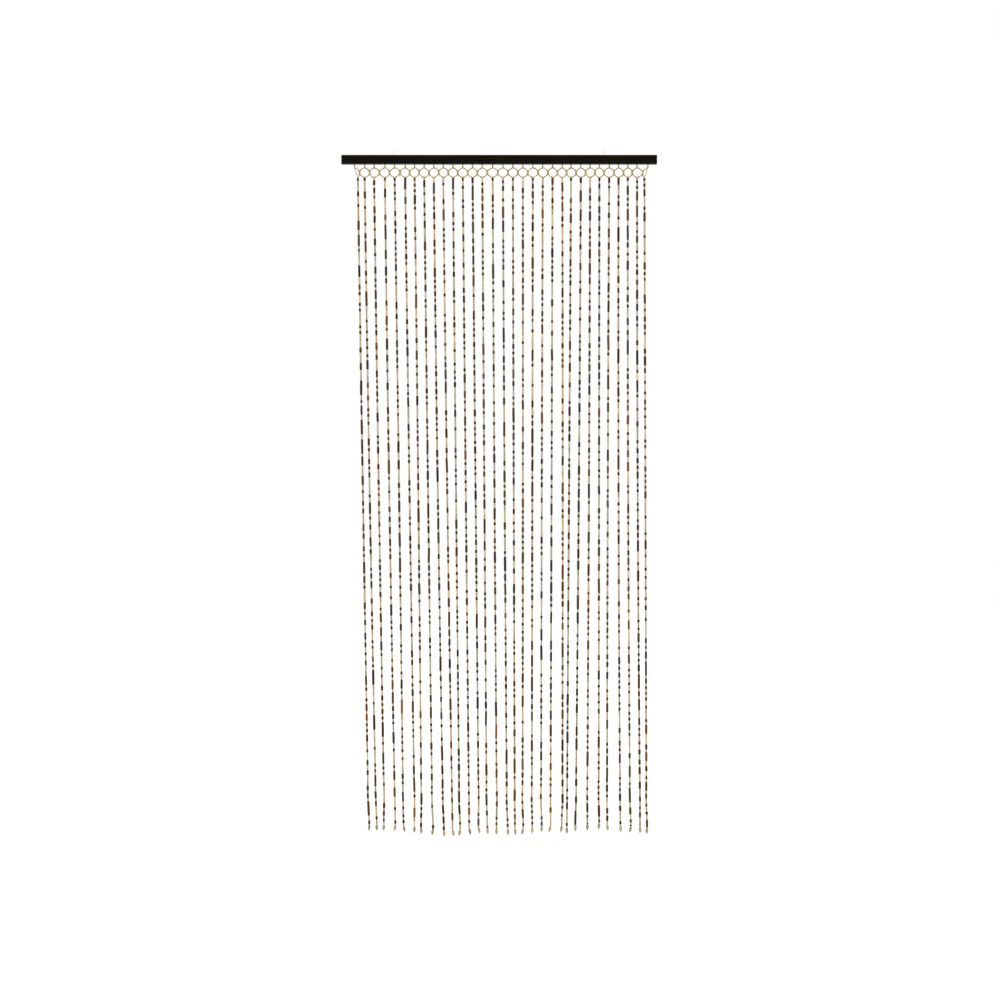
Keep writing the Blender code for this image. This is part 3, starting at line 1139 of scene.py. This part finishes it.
class CURTAIN_OT_thread_strands(bpy.types.Operator):
    """Threads every strand with its beads, tubes, end bead and knot"""

    bl_idname = "curtain.thread_strands"
    bl_label = "Thread Strands"

    def execute(self, context):
        beads, net = context.scene.curtain_beads, context.scene.curtain_net
        finishes = {
            "pale": pale_bamboo("pale_bamboo", beads.pale_colour),
            "end": pale_bamboo("end_bamboo", beads.end_colour),
            "dark": dark_bamboo(beads.dark_colour),
            "string": bpy.data.materials["waxed_string"],
        }
        for strand in range(STRAND_COUNT):
            self.thread(strand, beads, net, finishes)
        return {"FINISHED"}

    def thread(self, strand, beads, net, finishes):
        """One strand as one piece: its beads, its end bead, its string and the knot below."""
        rng = np.random.default_rng(BEAD_SEED + strand)
        surface = Surface()
        rows = split_pale_runs(thread_beads(strand))
        starts, lengths, dark = rows[:, 0], rows[:, 1], rows[:, 2] > 0.5
        low = strand_path(strand, starts + beads.slack / 2)
        high = strand_path(strand, starts + lengths - beads.slack / 2)
        spread = 1.0 + beads.unevenness * rng.uniform(-1.0, 1.0, len(rows))
        tone = rng.normal(TONE_MIDDLE, TONE_SPREAD, len(rows)) + rng.normal(0.0, STRAND_TONE_SPREAD)
        tone = np.clip(tone, 0.02, 0.98)
        hue = drifting_hue(starts, rng)
        turned = np.where(lengths < SHORT_DARK, SHORT_DARK_SHOULDER, DARK_SHOULDER)
        for kind, chosen, radius, shoulder in (
            ("dark", dark, beads.dark_radius, turned[dark]),
            ("pale", ~dark, beads.pale_radius, PALE_SHOULDER),
        ):
            add_beads(
                surface,
                finishes[kind],
                low[chosen],
                high[chosen],
                radius * spread[chosen],
                shoulder,
                tone[chosen],
                rng,
                hue[chosen],
            )
        self.close(surface, strand, beads, net, finishes, rng)
        surface.piece(f"strand_{strand + 1:02d}", "bamboo", "net_and_strands")

    def close(self, surface, strand, beads, net, finishes, rng):
        """The end bead, which stands off to one side, the string and the knot under the bead."""
        length = strand_length(strand)
        kick = random.Random(NET_SEED + strand).uniform(-END_BEAD_KICK, END_BEAD_KICK)
        neck, foot = strand_path(strand, np.array([length - END_BEAD_LENGTH, length]))
        drop = foot + np.array([kick, 0.0, 0.0]) - neck
        bead_top = neck + drop * BEAD_TOP
        bead_foot = neck + drop * BEAD_FOOT
        knot_foot = neck + drop * KNOT_FOOT
        tone, hue = rng.uniform(0.1, 0.6), rng.uniform(0.1, 0.9)
        string = finishes["string"]
        knot_radius = KNOT_SIZE * net.string_radius
        add_round_bead(surface, finishes["end"], bead_top, bead_foot, beads.end_radius, tone, hue, rng)
        add_round_bead(surface, string, bead_foot, knot_foot, knot_radius, 0.4, 0.5, rng)
        stations = np.linspace(0.0, length - END_BEAD_LENGTH, STRING_STATIONS)
        tail = neck + drop * np.array([BEAD_INSIDE, BEAD_FOOT, TAIL_FOOT])[:, None]
        tail[-1] += rng.uniform(-TAIL_STRAY, TAIL_STRAY, 3)
        path = np.concatenate([strand_path(strand, stations), tail])
        add_strings(surface, string, path[None], net.string_radius)


class CURTAIN_OT_set_stage(bpy.types.Operator):
    """Sets the floor, the light and the camera"""

    bl_idname = "curtain.set_stage"
    bl_label = "Set Stage"

    def execute(self, context):
        stage = context.scene.curtain_stage
        self.lay_floor(stage)
        self.light_room(context.scene, stage)
        self.place_camera(context.scene, stage)
        context.scene.view_settings.view_transform = "Standard"
        return {"FINISHED"}

    def lay_floor(self, stage):
        """A round floor below the lowest bead."""
        bpy.ops.mesh.primitive_circle_add(
            vertices=FLOOR_SIDES,
            radius=FLOOR_RADIUS,
            fill_type="NGON",
            location=(0.0, 0.0, CAD_BOX[0].z - stage.floor_drop),
        )
        floor = bpy.context.object
        floor.name = "floor"
        floor.data.materials.append(pale_floor(stage.floor_colour))

    def light_room(self, scene, stage):
        """Even white light from all round and a broad soft key light from the upper left."""
        world = bpy.data.worlds.new("white_room")
        world.use_nodes = True
        background = world.node_tree.nodes["Background"]
        background.inputs["Color"].default_value = rgba(WHITE)
        background.inputs["Strength"].default_value = stage.sky
        scene.world = world
        lamp = bpy.data.lights.new("key", "SUN")
        lamp.angle = math.radians(KEY_ANGLE)
        lamp.energy = stage.key
        holder = bpy.data.objects.new("key", lamp)
        holder.rotation_euler = KEY_DIRECTION.to_track_quat("-Z", "Y").to_euler()
        scene.collection.objects.link(holder)

    def place_camera(self, scene, stage):
        """A level camera whose picture is as wide as the photograph at the curtain."""
        camera = bpy.data.cameras.new("camera")
        camera.sensor_width = SENSOR_WIDTH
        camera.lens = SENSOR_WIDTH * stage.distance / PICTURE_WIDTH
        camera.clip_end = CAMERA_REACH
        holder = bpy.data.objects.new("camera", camera)
        holder.location = PICTURE_CENTRE - Vector((0.0, stage.distance, 0.0))
        holder.rotation_euler = (math.pi / 2, 0.0, 0.0)
        scene.collection.objects.link(holder)
        scene.camera = holder


class CURTAIN_PT_sidebar(bpy.types.Panel):
    """Lists the steps that make the curtain and the values that they read"""

    bl_idname = "CURTAIN_PT_sidebar"
    bl_label = "Bamboo Door Curtain"
    bl_space_type = "VIEW_3D"
    bl_region_type = "UI"
    bl_category = "Curtain"

    def draw(self, context):
        for step, names in (
            (CURTAIN_OT_lacquer_bar, ("curtain_bar",)),
            (CURTAIN_OT_bend_eyes, ()),
            (CURTAIN_OT_string_net, ("curtain_net",)),
            (CURTAIN_OT_thread_strands, ("curtain_beads",)),
            (CURTAIN_OT_set_stage, ("curtain_stage",)),
        ):
            box = self.layout.box()
            for name in names:
                group = getattr(context.scene, name)
                for key in group.bl_rna.properties.keys():
                    if key not in ("rna_type", "name"):
                        box.prop(group, key)
            box.operator(step.bl_idname)


GROUPS = {
    "curtain_beads": BeadProperties,
    "curtain_net": NetProperties,
    "curtain_bar": BarProperties,
    "curtain_stage": StageProperties,
}
STEPS = (
    CURTAIN_OT_lacquer_bar,
    CURTAIN_OT_bend_eyes,
    CURTAIN_OT_string_net,
    CURTAIN_OT_thread_strands,
    CURTAIN_OT_set_stage,
    CURTAIN_PT_sidebar,
)


def register():
    """Registers the groups of values, the steps and the panel."""
    for name, group in GROUPS.items():
        bpy.utils.register_class(group)
        setattr(bpy.types.Scene, name, PointerProperty(type=group))
    for step in STEPS:
        bpy.utils.register_class(step)


def unregister():
    """Takes away the steps, the panel and the groups of values."""
    for step in reversed(STEPS):
        bpy.utils.unregister_class(step)
    for name, group in GROUPS.items():
        delattr(bpy.types.Scene, name)
        bpy.utils.unregister_class(group)


def main():
    """Makes the curtain and its stage."""
    register()
    bpy.ops.curtain.lacquer_bar()
    bpy.ops.curtain.bend_eyes()
    bpy.ops.curtain.string_net()
    bpy.ops.curtain.thread_strands()
    bpy.ops.curtain.set_stage()


if __name__ == "__main__":
    main()
